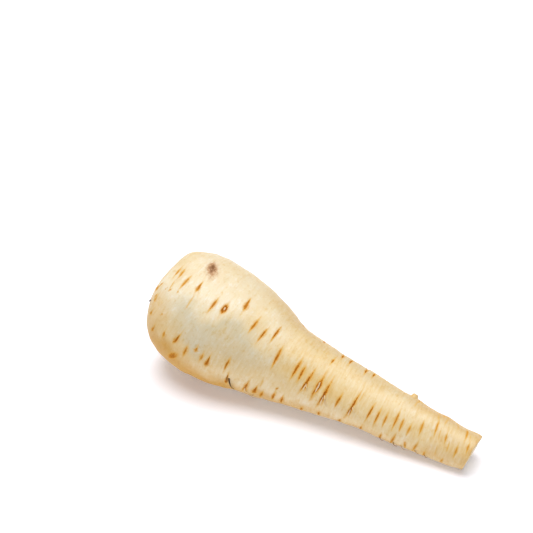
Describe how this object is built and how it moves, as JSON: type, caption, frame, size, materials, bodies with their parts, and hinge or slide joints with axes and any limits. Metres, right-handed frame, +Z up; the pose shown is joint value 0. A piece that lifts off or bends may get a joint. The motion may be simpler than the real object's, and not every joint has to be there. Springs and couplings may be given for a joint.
{
  "type": "parsnip",
  "caption": "Large parsnip root lying on its side, broad in the shoulder, with cut leaf stalks in its sunken crown and a cut tail.",
  "frame": {"origin": "centre of the box around the part in plan, at the level of the surface it lies on", "axes": "+X along the root from its crown to its cut tail, +Z up, -Y the side with the two ranks of scars"},
  "size_m": [0.219, 0.0732, 0.0755],
  "materials": {
    "parsnip_skin": "satin, washed vegetable skin, cream with tan scars",
    "leaf_stalk": "matte, fibrous cut stalks, tan and green"
  },
  "bodies": {
    "root": {"root": "parsnip_skin", "leaf_stalk_bases": "leaf_stalk"}
  },
  "joints": []
}
